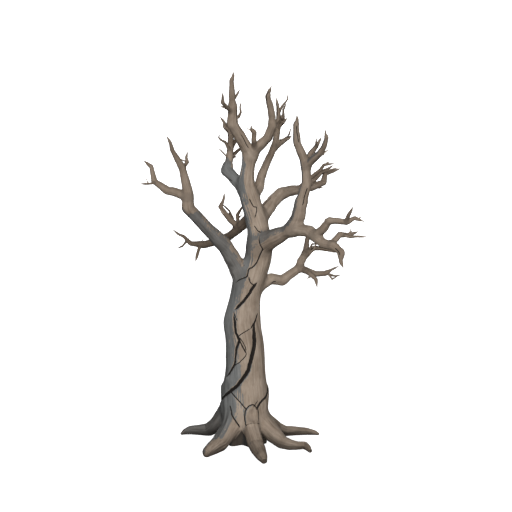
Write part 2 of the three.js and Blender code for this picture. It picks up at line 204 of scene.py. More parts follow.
# Knots, where a bough was lost: (height in millimetres, bearing in degrees, radius in millimetres).
KNOTS = [(705, -71.5, 250), (1900, 40, 90), (2750, 150, 80), (4500, 20, 70), (5600, 140, 50)]
KNOT_SLIM = 0.64  # a knot's width over its height
KNOT_RISE = 0.11  # of its radius
KNOT_RIM = (0.75, 0.28)  # where its rim stands and how broad that is, in its radius
KNOT_DISH = (0.9, 0.5)  # how deep its middle is, in its rim's height, and how broad, in its radius
KNOT_DARK = 0.56  # the crack mark in the middle of every knot but the largest
KNOT_HEART = (0.1, 0.8)  # where that fades out, in its radius
KNOT_CRACK = 0.12  # the width of the ring crack round the largest, in its radius
KNOT_CRACK_LEAST = 28 * MM
KNOT_OVERLAP = 0.3  # how far the ring crack's ends run past each other, in radians, each way
KNOT_SPOTS = 26

# Limbs that have gone silver-grey: (how far up the limb, in metres; how strongly).
SILVERED = {"trunk": (1.85, 0.3), "left": (1.95, 0.98), "upleft": (0.72, 0.8),
            "root_left": (9.0, 1.0), "root_front_left": (0.62, 0.35)}
SILVER_BASE = {"trunk": 0.0, "right": -0.14, "right_up": -0.25, "root_front_left": -0.3}
SILVER_CROWN = -0.6  # as SILVER_BASE, for every other limb
SILVER_FADE = 0.15  # how far before and after its end the grey fades out, in metres
SILVER_EDGE = 0.42  # how far wood turns to the weather before it goes silver
SILVER_SOFT = 0.05  # how far to either side of that the change runs
WEATHER_SIDE = (-0.94, 0.0, 0.34)  # where the weather comes from

# Darker brown wood: on thin limbs partly inner bark and partly painted shade, on named stout ones
# mainly painted shade.
SLENDER = (0.03, 0.14)  # radii over which a limb stops being slender
BARK_AND_SHADE_KEPT = {"backleft": 1.5, "right": 0.65, "right_up": 0.5, "left": 0.45, "root_left": 0.55,
             "root_front_left": 0.2, "root_front_right": 0.25}

# Painted shade: wood painted dark in crotches, underneath, at the foot, near the ground, between roots.
CROTCH_SHADE = 0.45
CROTCH_FILLS = (0.09, 0.3)  # how full a crotch is of wood, in the limb's radius, from light to dark
UNDER_SHADE = 0.42  # painted shade on the undersides
UNDER_FACING = (0.05, 0.85)  # how far down wood faces, from no shade to all of it
FOOT_SHADE = 0.5  # painted shade on the foot of the tree, on the weather side
FOOT_HEIGHTS = (0.5, 2.2)
FOOT_FACING = (0.35, 1.0)
# Painted shade near the ground, on wood that faces sideways or down.
GROUND_SHADE = 0.85
GROUND_SHADE_HEIGHTS = (0.05, 0.55)
GROUND_SHADE_FACING = (-0.1, 0.85)  # how far upward wood faces, from all of that painted shade to none
BETWEEN_ROOTS = (0.3, 0.6)  # heights over which the painted shade between roots clears
SURE = (0.05, 0.5)  # how surely a place is one limb's, from no grain drawn on it to all
FIBRE_SLIM = 40  # a bundle of fibres' length over its width
FIBRE_RISE = 2 * MM

# The short dead twigs.
SPUR_SIDES = 7
SPUR_ASIDE = (0.2, 0.5, 0.9)  # a twig's sides are set out square to this
SPUR_LEGS = (3, 5)  # the fewest straight legs of a twig, and one more than the most
SPUR_TAPER = 0.5  # of its radius, lost by its tip
SPUR_FLARE = 2.0  # its radius inside the bough, over that at its foot
SPUR_DEPTH = 2.0  # how far it goes into the bough, in its radius
SPUR_BEND = 0.04  # how far its bends stray, in its length
SPUR_LEAST_GIRTH = 24 * MM  # no twigs where a bough is thinner
SPUR_MOST_GIRTH = 85 * MM  # nor where it is stouter
SPUR_SHARE = 0.6  # a twig's greatest radius, in its bough's
SPUR_FIRST = (0.1, 0.6)  # how far past a bough's foot its first twig is, in the gap between twigs
SPUR_GAPS = (0.5, 1.6)  # the least and the most of that gap
SPUR_RADII = (0.8, 1.3)
SPUR_LENGTHS = (0.6, 1.4)
SPUR_FORWARD = 0.55  # how far it leans along its bough
SPUR_UPWARD = 0.35
SPUR_STRAY = 0.2
SPUR_FORKED = 0.4  # share of the twigs that fork
FORK_STRAY = 0.6
FORK_RADIUS = 0.85  # a fork's radius, over the twig's
FORK_LENGTHS = (0.4, 0.7)
SPUR_OUT = 15 * MM  # how far a twig may stand out of the frame's box

# The camera stands in front and a little above, and looks down at the middle of the tree.
SENSOR = 36.0
VIEW_ANGLE = 30.0
VIEW_DIP = math.radians(8)
VIEW_REACH = 20.5
AIM_HEIGHT = 4.098
CAMERA_X = 0.243
# Each light: the place from which it shines on the middle of the ground, and its width in degrees.
STUDIO_LIGHTS = {"key": ((0.0, -20.0, 4.0), 40), "back": ((-1.0, 14.0, 3.0), 36)}
FLOOR_WIDTH = 60.0
FLOOR_DROP = 2 * MM  # how far the floor lies below the tree, so that the two never coincide


# ---- Numbers and arrays -----------------------------------------------------------------------

def smoothstep(low, high, value):
    """How far a value has come from low to high, from 0 to 1, easing off at both."""
    share = np.clip((value - low) / (high - low), 0, 1)
    return share * share * (3 - 2 * share)


def unit(vectors):
    """Vectors made one long."""
    return vectors / np.maximum(np.linalg.norm(vectors, axis=-1, keepdims=True), 1e-12)


def running(lengths):
    """Nought, and then the running total of some lengths."""
    return np.concatenate([[0], np.cumsum(lengths)])


def legs(points):
    """The length of each leg of a line."""
    return np.linalg.norm(np.diff(points, axis=0), axis=1)


def rows_at(at, marks, rows):
    """A table's rows, which stand at some marks, read off at other places between them."""
    return np.column_stack([np.interp(at, marks, column) for column in rows.T])


def eased(table, spread):
    """A table's rows smoothed over a spread given in rows, with both ends carried straight on."""
    reach = max(1, math.ceil(3 * spread))
    steps = np.arange(-reach, reach + 1)
    weights = np.exp(-0.5 * (steps / spread) ** 2)
    weights /= weights.sum()
    before = 2 * table[0] - table[1:reach + 1][::-1]
    after = 2 * table[-1] - table[-reach - 1:-1][::-1]
    long = np.concatenate([before, table, after])
    return sum(w * long[i:i + len(table)] for i, w in enumerate(weights))


def noise(places, seed):
    """Smooth noise from about -1 to 1, with one swell to each unit of length."""
    rng = np.random.default_rng(seed)
    order = rng.permutation(256)
    slopes = unit(rng.normal(size=(256, 3)))
    cell = np.floor(places).astype(np.int64)
    inside = places - cell
    ease = inside ** 3 * (inside * (inside * 6 - 15) + 10)
    total = np.zeros(len(places))
    for corner in itertools.product((0, 1), repeat=3):
        x, y, z = (cell + corner).T
        pick = order[(order[(order[x & 255] + y) & 255] + z) & 255]
        weight = np.prod(np.where(corner, ease, 1 - ease), axis=1)
        total += weight * np.einsum("ij,ij->i", slopes[pick], inside - corner)
    return 1.6 * total


def nearest_point(places, points, radii=None):
    """The number of the point nearest to each place, or of the nearest ball where radii are given."""
    nearest = np.empty(len(places), np.int64)
    for low in range(0, len(places), BATCH):
        p = places[low:low + BATCH]
        gap = (p * p).sum(1)[:, None] - 2 * p @ points.T + (points ** 2).sum(1)
        if radii is not None:
            gap = np.sqrt(np.maximum(gap, 0)) - radii
        nearest[low:low + BATCH] = gap.argmin(1)
    return nearest


# ---- Limbs, read from the frame ---------------------------------------------------------------

def is_root(name):
    return name.startswith("root_")


class Limb:
    """A round, tapering limb: points down its middle from foot to tip, and the radius at each."""

    def __init__(self, name, number, points, radii, entry, foot):
        self.name = name
        self.number = number
        self.points = points
        self.radii = radii
        self.entry = entry  # how far along its line it comes out of its bearer
        self.foot = foot  # its radius there
        self.runs = unit(np.gradient(points, axis=0))
        self.marks = running(legs(points))
        self.slopes = np.gradient(radii, self.marks)
        self.across = self.carried_frame()
        self.length = self.marks[-1]
        self.mean = radii.mean()

    def carried_frame(self):
        """A direction square to the line at each point, carried along it without turning."""
        across = [unit(np.cross(self.runs[0], FRAME_START))]
        for run in self.runs[1:]:
            across.append(unit(across[-1] - run * (across[-1] @ run)))
        return np.array(across)

    def box(self, margin):
        """Opposite corners of a box round the limb, with a margin."""
        reach = self.radii.max() + margin
        return self.points.min(0) - reach, self.points.max(0) + reach

    def nearest(self, places):
        """For each place: the distance to the limb's skin, the way out, the place along and round."""
        i = nearest_point(places, self.points, self.radii)
        away = places - self.points[i]
        step = np.clip((away * self.runs[i]).sum(1), -LINE_STEP, LINE_STEP)
        step = np.where(i == len(self.points) - 1, np.minimum(step, 0), step)
        step = np.where(i == 0, np.maximum(step, 0), step)
        spoke = away - step[:, None] * self.runs[i]
        length = np.linalg.norm(spoke, axis=1)
        gap = length - (self.radii[i] + self.slopes[i] * step)
        out = spoke / np.maximum(length, 1e-9)[:, None]
        up = np.cross(self.runs[i], self.across[i])
        bearing = np.arctan2((spoke * up).sum(1), (spoke * self.across[i]).sum(1))
        return gap, out, self.marks[i] + step, bearing

    def girth(self, along, bearing):
        """The limb's radius at each distance along it, whatever the bearing."""
        return np.interp(along, self.marks, self.radii)

    def spot(self, along, bearing):
        """The place on the limb's skin at each distance along it and bearing round it."""
        middle, run, side = (rows_at(along, self.marks, rows)
                             for rows in (self.points, self.runs, self.across))
        up = np.cross(run, side)
        spoke = np.cos(bearing)[:, None] * side + np.sin(bearing)[:, None] * up
        return middle + unit(spoke) * self.girth(along, bearing)[:, None]

    def tube(self):
        """A rough closed tube down the limb: its points and its faces."""
        at = sorted({*range(0, len(self.points), TUBE_STEP), len(self.points) - 1})
        radii = self.radii[at] + TUBE_EXTRA
        return round_tube(self.points[at], self.runs[at], self.across[at], radii, TUBE_SIDES)


def round_tube(line, runs, across, radii, sides):
    """A closed tube with so many sides round a line: its points and its faces."""
    turn = np.linspace(0, 2 * np.pi, sides, endpoint=False)[None, :, None]
    up = np.cross(runs, across)[:, None]
    spokes = (np.cos(turn) * across[:, None] + np.sin(turn) * up) * radii[:, None, None]
    return closed_tube(line[:, None] + spokes)


def closed_tube(rings):
    """Points and faces of a skin over rings of points, with a flat face at each end."""
    count, sides = rings.shape[:2]
    points = rings.reshape(-1, 3)
    points[:, 2] = np.maximum(points[:, 2], 0)
    i = np.arange(sides)
    j = (i + 1) % sides
    low = np.arange(count - 1)[:, None] * sides
    walls = np.stack([low + i, low + j, low + sides + j, low + sides + i], axis=-1).reshape(-1, 4)
    faces = [*walls.tolist(), i[::-1].tolist(), ((count - 1) * sides + i).tolist()]
    return points, faces


def welded(mesh):
    """A mesh's places and triangles, with points that share a place made one."""
    places = np.empty(len(mesh.vertices) * 3)
    mesh.vertices.foreach_get("co", places)
    places = places.reshape(-1, 3)
    mesh.calc_loop_triangles()
    corners = np.empty(len(mesh.loop_triangles) * 3, np.int64)
    mesh.loop_triangles.foreach_get("vertices", corners)
    _, first, same = np.unique(np.round(places * WELD), axis=0, return_index=True, return_inverse=True)
    faces = same.reshape(-1)[corners].reshape(-1, 3)
    whole = (faces[:, 0] != faces[:, 1]) & (faces[:, 1] != faces[:, 2]) & (faces[:, 2] != faces[:, 0])
    return places[first], faces[whole]


def rings_of(mesh):
    """The rings of points round a limb's solid, foot first, and the points nearer its foot.

    A limb ends in a flat fan, and each step out from the middle of it is one ring.
    """
    places, faces = welded(mesh)
    corners = places[faces]
    normals = unit(np.cross(corners[:, 1] - corners[:, 0], corners[:, 2] - corners[:, 0]))
    total = np.zeros_like(places)
    degree = np.zeros(len(places))
    near = [set() for _ in places]
    for k in range(3):
        np.add.at(total, faces[:, k], normals)
        np.add.at(degree, faces[:, k], 1)
    for a, b, c in faces.tolist():
        near[a] |= {b, c}
        near[b] |= {a, c}
        near[c] |= {a, b}
    fans = np.flatnonzero((np.linalg.norm(total, axis=1) > FLAT_FAN * degree) & (degree >= FAN_LEAST))
    best = []
    for middle in sorted(fans, key=lambda v: -places[v][2]):
        rings = []
        seen = {middle}
        ring = near[middle]
        while len(ring) == degree[middle]:
            rings.append(sorted(ring))
            seen |= ring
            ring = set().union(*(near[v] for v in ring)) - seen
        if len(rings) > len(best):
            best = rings
            rest = sorted(set(range(len(places))) - seen)
    if not best:
        raise RuntimeError(f"no rings were found on {mesh.name}")
    return places[np.array(best[::-1])], places[rest]


def limb_from(name):
    """The line down the middle of a bough or root, from its solid, and the radius at each point."""
    rings, foot = rings_of(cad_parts[name].data)
    sides = rings.shape[1]
    swell = math.sqrt((2 * math.pi / sides) / math.sin(2 * math.pi / sides))
    points = np.concatenate([foot.mean(0)[None], rings.mean(1)])
    runs = unit(np.diff(points, axis=0))
    spokes = rings - points[1:, None]
    spokes -= (spokes * runs[:, None]).sum(-1, keepdims=True) * runs[:, None]
    radii = np.linalg.norm(spokes, axis=-1).mean(1) / swell
    radii = np.concatenate([[radii[0] * FOOT_SWELL], radii])
    return points, radii


def knuckled(points, radii):
    """A line with a short swelling at each bend, where a limb's wood grows out to its corner."""
    line = [points[0]]
    size = [radii[0]]
    for before, here, after, radius in zip(points, points[1:], points[2:], radii[1:]):
        back, on = here - before, after - here
        lengths = np.linalg.norm(back), np.linalg.norm(on)
        half = 0.5 * math.acos(np.clip(back @ on / (lengths[0] * lengths[1]), -1, 1))
        gaps = [min(KNUCKLE_REACH * radius / length, KNUCKLE_SHARE) for length in lengths]
        line += [here - gaps[0] * back, here, here + gaps[1] * on]
        size += [radius, radius * min(1 / math.cos(half), KNUCKLE_MOST), radius]
    return np.array([*line, points[-1]]), np.array([*size, radii[-1]])


def resampled(points, radii, blunt):
    """A line at even steps, with its bends eased, and its tip brought to a point unless blunt."""
    marks = running(legs(points))
    count = max(4, round(marks[-1] / LINE_STEP) + 1)
    at = np.linspace(0, marks[-1], count)
    table = rows_at(at, marks, np.column_stack([points, radii]))
    spread = (LINE_EASE * radii.mean() + LINE_EASE_LEAST) / (at[1] - at[0])
    table = eased(table, spread)
    radii = np.maximum(table[:, 3], radii.min() * LINE_THINNEST) + WOOD_EXTRA
    if blunt:
        return table[:, :3], radii
    left = (marks[-1] - at) / (TIP_REACH * radii[-1])
    pointed = TIP_SHARE + (1 - TIP_SHARE) * smoothstep(-TIP_CUT, 1, left)
    return table[:, :3], np.maximum(radii * pointed, np.minimum(radii, TIP_LEAST))


class Trunk:
    """The trunk: level rings, with a reach for each height and bearing."""

    name = "trunk"
    number = 0
    entry = 0.0

    def __init__(self):
        rings, _ = rings_of(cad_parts["trunk"].data)
        heights = rings[:, :, 2].mean(1)
        middles = rings[:, :, :2].mean(1)
        bearings = np.linspace(-np.pi, np.pi, TRUNK_BEARINGS, endpoint=False)
        reaches = []
        for ring, middle in zip(rings, middles):
            spokes = ring[:, :2] - middle
            turn = np.arctan2(spokes[:, 1], spokes[:, 0])
            order = turn.argsort()
            reach = np.linalg.norm(spokes, axis=1)[order]
            reaches.append(np.interp(bearings, turn[order], reach, period=2 * np.pi))
        self.top = heights[-1]
        self.heights = np.arange(0, self.top, TRUNK_STEP)
        self.middles = self.column(heights, middles)
        table = self.column(heights, np.array(reaches))
        wrapped = np.concatenate([table, table, table], axis=1).T
        degrees = 360 / TRUNK_BEARINGS
        wrapped = eased(wrapped, TRUNK_EASE_ROUND / degrees)
        self.reaches = wrapped[TRUNK_BEARINGS:2 * TRUNK_BEARINGS].T
        self.length = self.top
        self.mean = self.foot = self.reaches.mean()

    def column(self, heights, rows):
        """Rows given at some heights, made even steps up the trunk and eased."""
        return eased(rows_at(self.heights, heights, rows), TRUNK_EASE_UP / TRUNK_STEP)

    def middle(self, height):
        """The trunk's middle at each height."""
        return rows_at(np.clip(height, 0, self.heights[-1]), self.heights, self.middles)

    def box(self, margin):
        """As a limb's, but open downward."""
        reach = self.reaches.max() + margin
        low = [*(self.middles.min(0) - reach), -1]
        high = [*(self.middles.max(0) + reach), self.top + self.reaches[-1].max() + margin]
        return np.array(low), np.array(high)

    def spot(self, height, bearing):
        """The place on the trunk's skin at each height and bearing."""
        spoke = np.column_stack([np.cos(bearing), np.sin(bearing)])
        rim = self.middle(height) + spoke * self.girth(height, bearing)[:, None]
        return np.column_stack([rim, height])

    def girth(self, height, bearing):
        """The trunk's reach from its middle at each height and bearing."""
        row = np.clip(height / TRUNK_STEP, 0, len(self.heights) - 1.001)
        column = (bearing / (2 * np.pi) + 0.5) * TRUNK_BEARINGS
        i, j = np.floor(row).astype(int), np.floor(column).astype(int)
        u, v = row - i, column - j
        j, k = j % TRUNK_BEARINGS, (j + 1) % TRUNK_BEARINGS
        table = self.reaches
        below = table[i, j] * (1 - v) + table[i, k] * v
        above = table[i + 1, j] * (1 - v) + table[i + 1, k] * v
        return below * (1 - u) + above * u

    def nearest(self, places):
        """As a limb's: the distance to the skin, the way out, the height and the bearing."""
        height = places[:, 2]
        spoke = places[:, :2] - self.middle(height)
        bearing = np.arctan2(spoke[:, 1], spoke[:, 0])
        over = np.maximum(height - self.top, 0)
        length = np.hypot(np.hypot(*spoke.T), over)
        gap = length - self.girth(height, bearing)
        out = np.column_stack([spoke, over]) / np.maximum(length, 1e-9)[:, None]
        return gap, out, height.copy(), bearing

    def tube(self):
        """A rough closed tube up the trunk: its points and its faces."""
        bearings = np.linspace(-np.pi, np.pi, TRUNK_BEARINGS // 2, endpoint=False)
        levels = (np.full(len(bearings), height) for height in self.heights[::TUBE_STEP])
        return closed_tube(np.array([self.spot(level, bearings) for level in levels]))


def grow_limbs():
    """The trunk and then every limb, each with its foot carried into the limb that bears it."""
    limbs = {"trunk": Trunk()}
    names = [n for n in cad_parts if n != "trunk"]
    raw = {n: limb_from(n) for n in names}
    for name in sorted(names, key=lambda n: (not is_root(n), -raw[n][1].max())):
        points, radii = raw[name]
        inward = unit(points[0] - points[1])
        bearer = min(limbs.values(), key=lambda limb: abs(limb.nearest(points[:1])[0][0]))
        depth = FOOT_DEPTH * bearer.girth(*bearer.nearest(points[:1])[2:])[0]
        points = np.concatenate([[points[0] + depth * inward], points])
        points[0][2] = max(points[0][2], radii[0] * FOOT_RISE)
        radii = np.concatenate([[radii[0] * FOOT_SWELL], radii])
        line = (points, radii) if is_root(name) else knuckled(points, radii)
        line = resampled(*line, blunt=is_root(name))
        limbs[name] = Limb(name, len(limbs), *line, entry=depth, foot=radii[1])
    return limbs


def boughs_of(limbs):
    """The limbs that are neither the trunk nor a root."""
    return [limb for limb in limbs.values() if limb.name != "trunk" and not is_root(limb.name)]


# ---- The skin: limbs run together, with relief ------------------------------------------------

def collar(limb, along, share):
    """How widely a limb runs into others at each distance along it, which is most at its foot."""
    if isinstance(limb, Trunk):
        return np.full(len(along), COLLAR_LEAST)
    if is_root(limb.name):
        share = share * ROOT_COLLAR
    past = np.maximum(along - limb.entry, 0) / (COLLAR_REACH * limb.foot)
    return share * limb.foot * np.exp(-past * past) + COLLAR_LEAST


def meetings(limbs, places, share):
    """Each limb in turn with the places near it, and how far it takes each of those over."""
    dist = np.full(len(places), FAR)
    out = np.zeros_like(places)
    for limb in limbs.values():
        low, high = limb.box(COLLAR_LEAST + share * limb.foot)
        near = np.flatnonzero(((places > low) & (places < high)).all(1))
        if not len(near):
            continue
        gap, way, along, bearing = limb.nearest(places[near])
        width = collar(limb, along, share)
        hold = np.clip(0.5 + 0.5 * (dist[near] - gap) / width, 0, 1)
        fillet = width * hold * (1 - hold)
        dist[near] = dist[near] * (1 - hold) + gap * hold - fillet
        out[near] = out[near] * (1 - hold)[:, None] + way * hold[:, None]
        yield limb, near, along, bearing, hold, fillet, dist, out


def settled(limbs, places, share, rounds=2):
    """Places moved on to the skin, with the way out of it at each."""
    for _ in range(rounds):
        for *_, dist, out in meetings(limbs, places, share):
            pass
        under = -places[:, 2] > dist
        dist[under] = -places[under, 2]
        out[under] = (0, 0, -1)
        slope = np.maximum((out * out).sum(1), SLOPE_LEAST)
        places = places - out * (dist / slope)[:, None]
    places[:, 2] = np.maximum(places[:, 2], 0)
    return places, unit(out)


def relief(limb, along, bearing, sizes):
    """How far the wood stands out from a limb's smooth skin at each place."""
    girth = limb.girth(along, bearing)
    turn = bearing + TWIST * along
    ring = np.column_stack([np.cos(turn), np.sin(turn)])

    def swells(across, up, seed):
        return noise(np.column_stack([across, up + limb.number * NOISE_APART]), seed)

    long = along / (FLUTE_LENGTH * limb.mean + FLUTE_LEAST)
    flutes = swells(ring * FLUTES_ROUND, long, 1)
    flutes += FINER[0] * swells(ring * FLUTES_ROUND * FINER[1], long * FINER[2], 2)
    grain = swells(ring * girth[:, None] / GRAIN_WIDTH, along / GRAIN_LENGTH, 3)
    ridges = GRAIN_LEVEL - 2 * np.abs(grain)  # a sharp ridge wherever the swells cross nought
    lumps = swells(ring * LUMPS_ROUND, along / (LUMP_LENGTH * limb.mean + LUMP_LEAST), 4)
    rough = ROOT_FLUTES if is_root(limb.name) else 1.0
    height = sizes.flutes * rough * girth * flutes + sizes.lumps * girth * lumps
    height += np.minimum(sizes.grain, GRAIN_SHARE * girth) * ridges
    return height * smoothstep(0, TIP_FADE, limb.length - along + TIP_LEFT * TIP_FADE)


def silvering(limb, along):
    """How much readier than the trunk a limb is to go silver, at each distance along it."""
    base = SILVER_BASE.get(family(limb.name), SILVER_CROWN)
    if limb.name not in SILVERED:
        return np.full(len(along), base)
    last, strength = SILVERED[limb.name]
    left = 1 - smoothstep(last - SILVER_FADE, last + SILVER_FADE, along - limb.entry)
    return base + (strength - base) * left


def family(name):
    """The piece of the tree that a limb belongs to."""
    if name == "trunk" or is_root(name):
        return name
    return max((leader for leader in LEADERS if (name + "_").startswith(leader + "_")), key=len)


def line_gap(places, points, ways_out):
    """Each place's distance from a line of close points, its share of the way along, and its side.

    The side is above nought below the line, taken over the line's whole length.
    """
    runs = unit(np.gradient(points, axis=0))
    steps = legs(points)
    marks = running(steps)
    left = np.cross(runs, ways_out)
    left *= -np.sign(left[:, 2].sum())
    i = nearest_point(places, points)
    away = places - points[i]
    step = np.clip((away * runs[i]).sum(1), -steps.max(), steps.max())
    gap = np.linalg.norm(away - step[:, None] * runs[i], axis=1)
    share = (marks[i] + step) / marks[-1]
    return gap, np.clip(share, 0, 1), (away * left[i]).sum(1)


def crack_line(limb, spots, seed):
    """Close points on a limb's skin through spots of (distance along, bearing), straying a little."""
    along, bearing = np.array(spots).T
    girth = limb.girth(along, bearing).mean()
    marks = running(np.hypot(np.diff(along), np.diff(bearing) * girth))
    at = np.arange(0, marks[-1], CRACK_STEP)
    along, bearing = eased(rows_at(at, marks, np.array(spots)), CRACK_EASE / CRACK_STEP).T
    stray = 0
    for turn, (swell, weight) in enumerate(CRACK_WANDERS):
        track = np.column_stack([at / swell, np.full(len(at), seed + 0.5), at * 0])
        stray = stray + weight * noise(track, seed + turn)
    return limb.spot(along, bearing + CRACK_STRAY * stray / girth)


def trunk_cracks(trunk):
    """The drying cracks that wind round the trunk: (width, lip, line) for each."""
    for number, (name, (width, spots)) in enumerate(CRACKS.items()):
        spots = [(height * MM, math.radians(bearing)) for height, bearing in spots]
        yield width * MM, LIPS.get(name, 0), crack_line(trunk, spots, number * 7)


def knot_crack(trunk):
    """The ring crack round the trunk's largest knot: (width, lip, line)."""
    turns = np.linspace(-np.pi - KNOT_OVERLAP, np.pi + KNOT_OVERLAP, KNOT_SPOTS)
    height, bearing, radius = KNOTS[0]
    girth = trunk.girth(np.array([height * MM]), np.radians([bearing]))[0]
    along = (height + radius * np.cos(turns)) * MM
    bearings = math.radians(bearing) + KNOT_SLIM * radius * MM * np.sin(turns) / girth
    width = max(KNOT_CRACK * radius * MM, KNOT_CRACK_LEAST)
    return width, 0, crack_line(trunk, list(zip(along, bearings)), radius)


def bough_checks(limbs, seed):
    """Fine cracks along the grain of the stouter boughs: (width, lip, line) for each."""
    rng = np.random.default_rng(seed)
    for limb in boughs_of(limbs):
        if limb.mean < CHECK_LEAST_GIRTH:
            continue
        at = limb.entry + CHECK_CLEAR
        while at < limb.length - CHECK_LAST:
            reach = min(rng.uniform(*CHECK_LENGTHS), limb.length - CHECK_CLEAR - at)
            bearing = rng.uniform(-math.pi, math.pi)
            lean = rng.uniform(-CHECK_LEAN, CHECK_LEAN)
            halfway = at + 0.5 * reach, bearing + CHECK_BEND * lean
            spots = [(at, bearing), halfway, (at + reach, bearing + lean)]
            yield rng.uniform(*CHECK_WIDTHS) * MM, 0, crack_line(limb, spots, int(rng.integers(1000)))
            at += rng.uniform(*CHECK_GAPS) * CHECK_GAP


def grow_skin(sizes):
    """The whole tree's skin, as arrays: places, faces and what the wood is like at each place."""
    limbs = grow_limbs()
    step = sizes.step * 1
    tubes = [limb.tube() for limb in limbs.values()]
    places, faces = remeshed(tubes, COARSE * step)
    places, _ = settled(limbs, places, sizes.collar)
    places, faces = remeshed([*tubes, (places, faces.tolist())], step)
    places, out = settled(limbs, places, sizes.collar, rounds=3)

    skin = wood_from(limbs, places, sizes)
    groove = cut_cracks(limbs, places, skin, sizes)
    raise_knots(limbs, places, skin, sizes)
    flat = (out[:, 2] < FLAT_FACING) & (places[:, 2] < FLAT_HEIGHT)
    places = places + out * np.where(flat, 0, skin["height"] - groove)[:, None]
    places[:, 2] = np.maximum(places[:, 2], 0)
    places = spread_out(places, faces, places[:, 2] < SPREAD_HEIGHT)

    normals = vertex_normals(places, faces)
    facing = normals @ unit(np.array(WEATHER_SIDE))
    skin["silver"] = facing + skin["silver"]
    skin["sure"] = smoothstep(*SURE, skin["sure"])
    skin["hollow"] = shade(skin, places[:, 2], normals[:, 2], facing)
    return limbs, {**skin, "places": places, "faces": faces, "normals": normals}


def wood_from(limbs, places, sizes):
    """What the skin takes at each place from the limbs round it: its relief, grain and weathering."""
    count = len(places)
    skin = {key: np.zeros(count) for key in ("height", "silver", "hollow", "slender", "crack")}
    skin.update(sure=np.ones(count), grain=np.zeros((count, 3)), owner=np.zeros(count, np.int64))
    for limb, near, along, bearing, hold, fillet, *_ in meetings(limbs, places, sizes.collar):
        some = hold > 0
        near, along, bearing, hold, fillet = (a[some] for a in (near, along, bearing, hold, fillet))
        girth = limb.girth(along, bearing)
        # Inner bark on thin limbs, and painted shade on them and on the named stout limbs.
        bark_and_shade = BARK_AND_SHADE_KEPT.get(family(limb.name), 0)
        for key, value in (("height", relief(limb, along, bearing, sizes)),
                           ("silver", silvering(limb, along)),
                           ("slender", np.maximum(1 - smoothstep(*SLENDER, girth), bark_and_shade))):
            skin[key][near] = skin[key][near] * (1 - hold) + value * hold
        # How full each crotch is of wood, which shade() turns into painted shade.
        skin["hollow"][near] = np.maximum(skin["hollow"][near] * (1 - hold), fillet / limb.foot)
        mostly = hold > 0.5
        skin["owner"][near[mostly]] = limb.number
        turn = bearing + TWIST * along
        ring = girth * np.cos(turn), girth * np.sin(turn), along + limb.number * NOISE_APART
        skin["grain"][near[mostly]] = np.column_stack(ring)[mostly]
        sure = np.where(mostly, 1, skin["sure"][near])
        skin["sure"][near] = np.minimum(sure, np.abs(2 * hold - 1))
    return skin


def cut_cracks(limbs, places, skin, sizes):
    """Marks each crack's painted shade on the skin and raises its lip. Gives the depth of the grooves.
    """
    depth = np.zeros(len(places))
    trunk = limbs["trunk"]
    for width, lip, line in (*trunk_cracks(trunk), knot_crack(trunk), *bough_checks(limbs, sizes.seed)):
        line, ways_out = settled(limbs, line, sizes.collar)
        reach = width + LIP_REACH * (lip > 0)
        near = ((places > line.min(0) - reach) & (places < line.max(0) + reach)).all(1)
        near = np.flatnonzero(near)
        gap, way, side = line_gap(places[near], line, ways_out)
        ends = smoothstep(0, CRACK_END, way) * smoothstep(0, CRACK_END, 1 - way)
        half = 0.5 * width * (CRACK_END_WIDTH + (1 - CRACK_END_WIDTH) * ends)
        inside = np.clip(1 - gap / half, 0, 1)
        depth[near] = np.maximum(depth[near], 2 * CRACK_DEPTH * half * inside * np.sqrt(ends))
        edge = CRACK_DARK * half * np.sqrt(ends) - gap - CRACK_END_BACK * (1 - ends)
        dark = np.clip(0.5 + edge / CRACK_RAMP, 0, 1)
        skin["crack"][near] = np.maximum(skin["crack"][near], dark)
        skin["height"][near] += lip * ends * (side > 0) * (1 - smoothstep(0, LIP_REACH, gap))
    return depth


def raise_knots(limbs, places, skin, sizes):
    """Raises a dished rim at each knot, and darkens the middle of all but the largest."""
    for height, bearing, radius in KNOTS:
        spot = limbs["trunk"].spot(np.array([height * MM]), np.radians([bearing]))
        middle, _ = settled(limbs, spot, sizes.collar)
        gap = np.linalg.norm((places - middle) / (KNOT_SLIM, KNOT_SLIM, 1), axis=1) / (radius * MM)
        rim = np.exp(-((gap - KNOT_RIM[0]) / KNOT_RIM[1]) ** 2)
        rim = rim - KNOT_DISH[0] * np.exp(-(gap / KNOT_DISH[1]) ** 2)
        skin["height"] += KNOT_RISE * radius * MM * rim
        if radius < KNOTS[0][2]:
            heart = KNOT_DARK * (1 - smoothstep(*KNOT_HEART, gap))
            skin["crack"] = np.maximum(skin["crack"], heart)


def shade(skin, height, upward, facing):
    """Painted shade at each place, from its height and how far it faces upward and to the weather."""
    crotches = CROTCH_SHADE * smoothstep(*CROTCH_FILLS, skin["hollow"])
    under = UNDER_SHADE * smoothstep(*UNDER_FACING, -upward)
    foot = FOOT_SHADE * smoothstep(*FOOT_FACING, facing) * (1 - smoothstep(*FOOT_HEIGHTS, height))
    low = 1 - smoothstep(*GROUND_SHADE_HEIGHTS, height)
    ground_shade = GROUND_SHADE * low * (1 - smoothstep(*GROUND_SHADE_FACING, upward))
    between = (skin["owner"] == Trunk.number) * (1 - smoothstep(*BETWEEN_ROOTS, height))
    return np.maximum.reduce([crotches, under, foot, ground_shade, between])


def joined(solids):
    """Several solids as one mesh: points and faces."""
    points = []
    faces = []
    count = 0
    for solid_points, solid_faces in solids:
        points.append(solid_points)
        faces += [[v + count for v in face] for face in solid_faces]
        count += len(solid_points)
    return np.concatenate(points), faces


